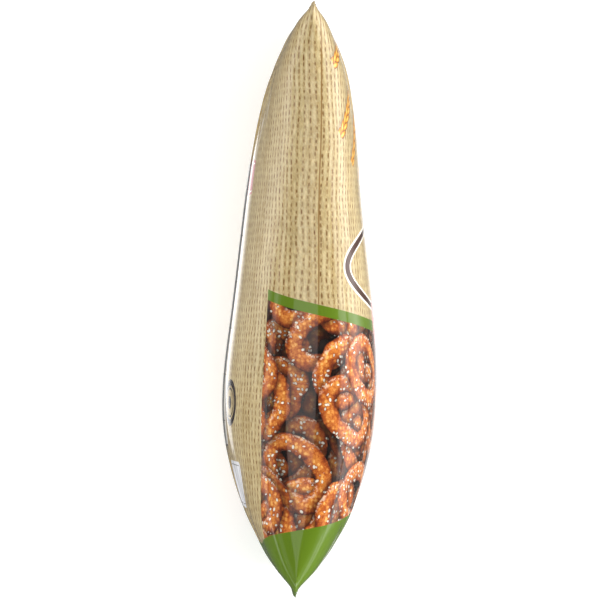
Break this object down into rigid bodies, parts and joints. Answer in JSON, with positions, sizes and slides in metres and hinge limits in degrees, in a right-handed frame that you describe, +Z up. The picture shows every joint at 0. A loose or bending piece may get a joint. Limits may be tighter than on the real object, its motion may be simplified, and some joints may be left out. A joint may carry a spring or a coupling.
{
  "type": "pillow bag of pretzels",
  "caption": "Shut pillow bag of pretzels in glossy printed film, lying on a narrow side, with crimped end seals and a lap seal down the back.",
  "frame": {"origin": "on the floor, below the middle of the bag's box", "axes": "+Y along the bag from its lower to its upper end seal, +X out of the front panel, +Z up out of the narrow side that the picture shows"},
  "size_m": [0.077, 0.28, 0.18],
  "materials": {
    "printed_film": "printed plastic film, smooth and fairly glossy"
  },
  "bodies": {
    "root": {"pretzel_bag": "printed_film"}
  },
  "joints": []
}
